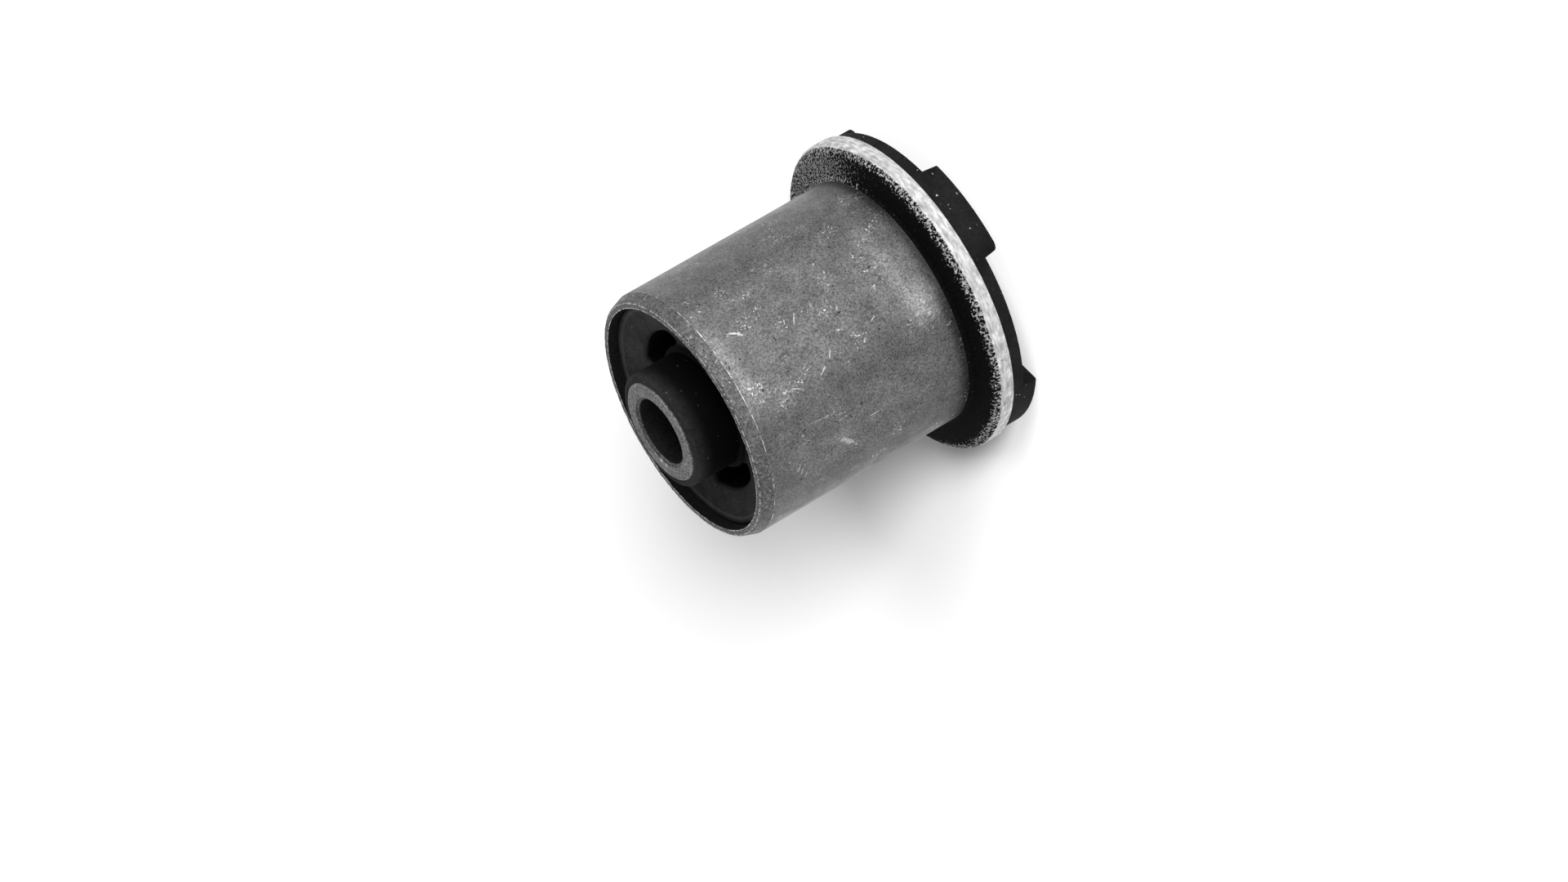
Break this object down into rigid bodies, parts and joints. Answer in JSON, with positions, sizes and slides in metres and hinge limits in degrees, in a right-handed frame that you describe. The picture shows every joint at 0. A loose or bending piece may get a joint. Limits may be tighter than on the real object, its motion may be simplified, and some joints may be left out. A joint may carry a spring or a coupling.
{
  "type": "rubber metal bush",
  "caption": "Flanged rubber-to-metal bush: thick inner sleeve for a bolt, rubber with voids and bumper pads, and a pressed-in outer sleeve with a flange.",
  "frame": {"origin": "on the bush's axis at the end face of the inner sleeve on the flange side, which is the lowest face", "axes": "+Z along the axis from the flange end to the plain end; +X towards the middle of one void, +Y away from the voids' slanted ends"},
  "size_m": [0.0586, 0.0586, 0.059],
  "materials": {
    "outer_sleeve_steel": "dull grey phosphated steel, mottled and lightly scuffed, with a rough blasted flange",
    "inner_sleeve_steel": "dark grey phosphated steel, lightly pitted",
    "rubber": "matte black moulded rubber with fine pale specks"
  },
  "bodies": {
    "root": {"outer_sleeve": "outer_sleeve_steel", "inner_sleeve": "inner_sleeve_steel", "rubber_body": "rubber"}
  },
  "joints": []
}
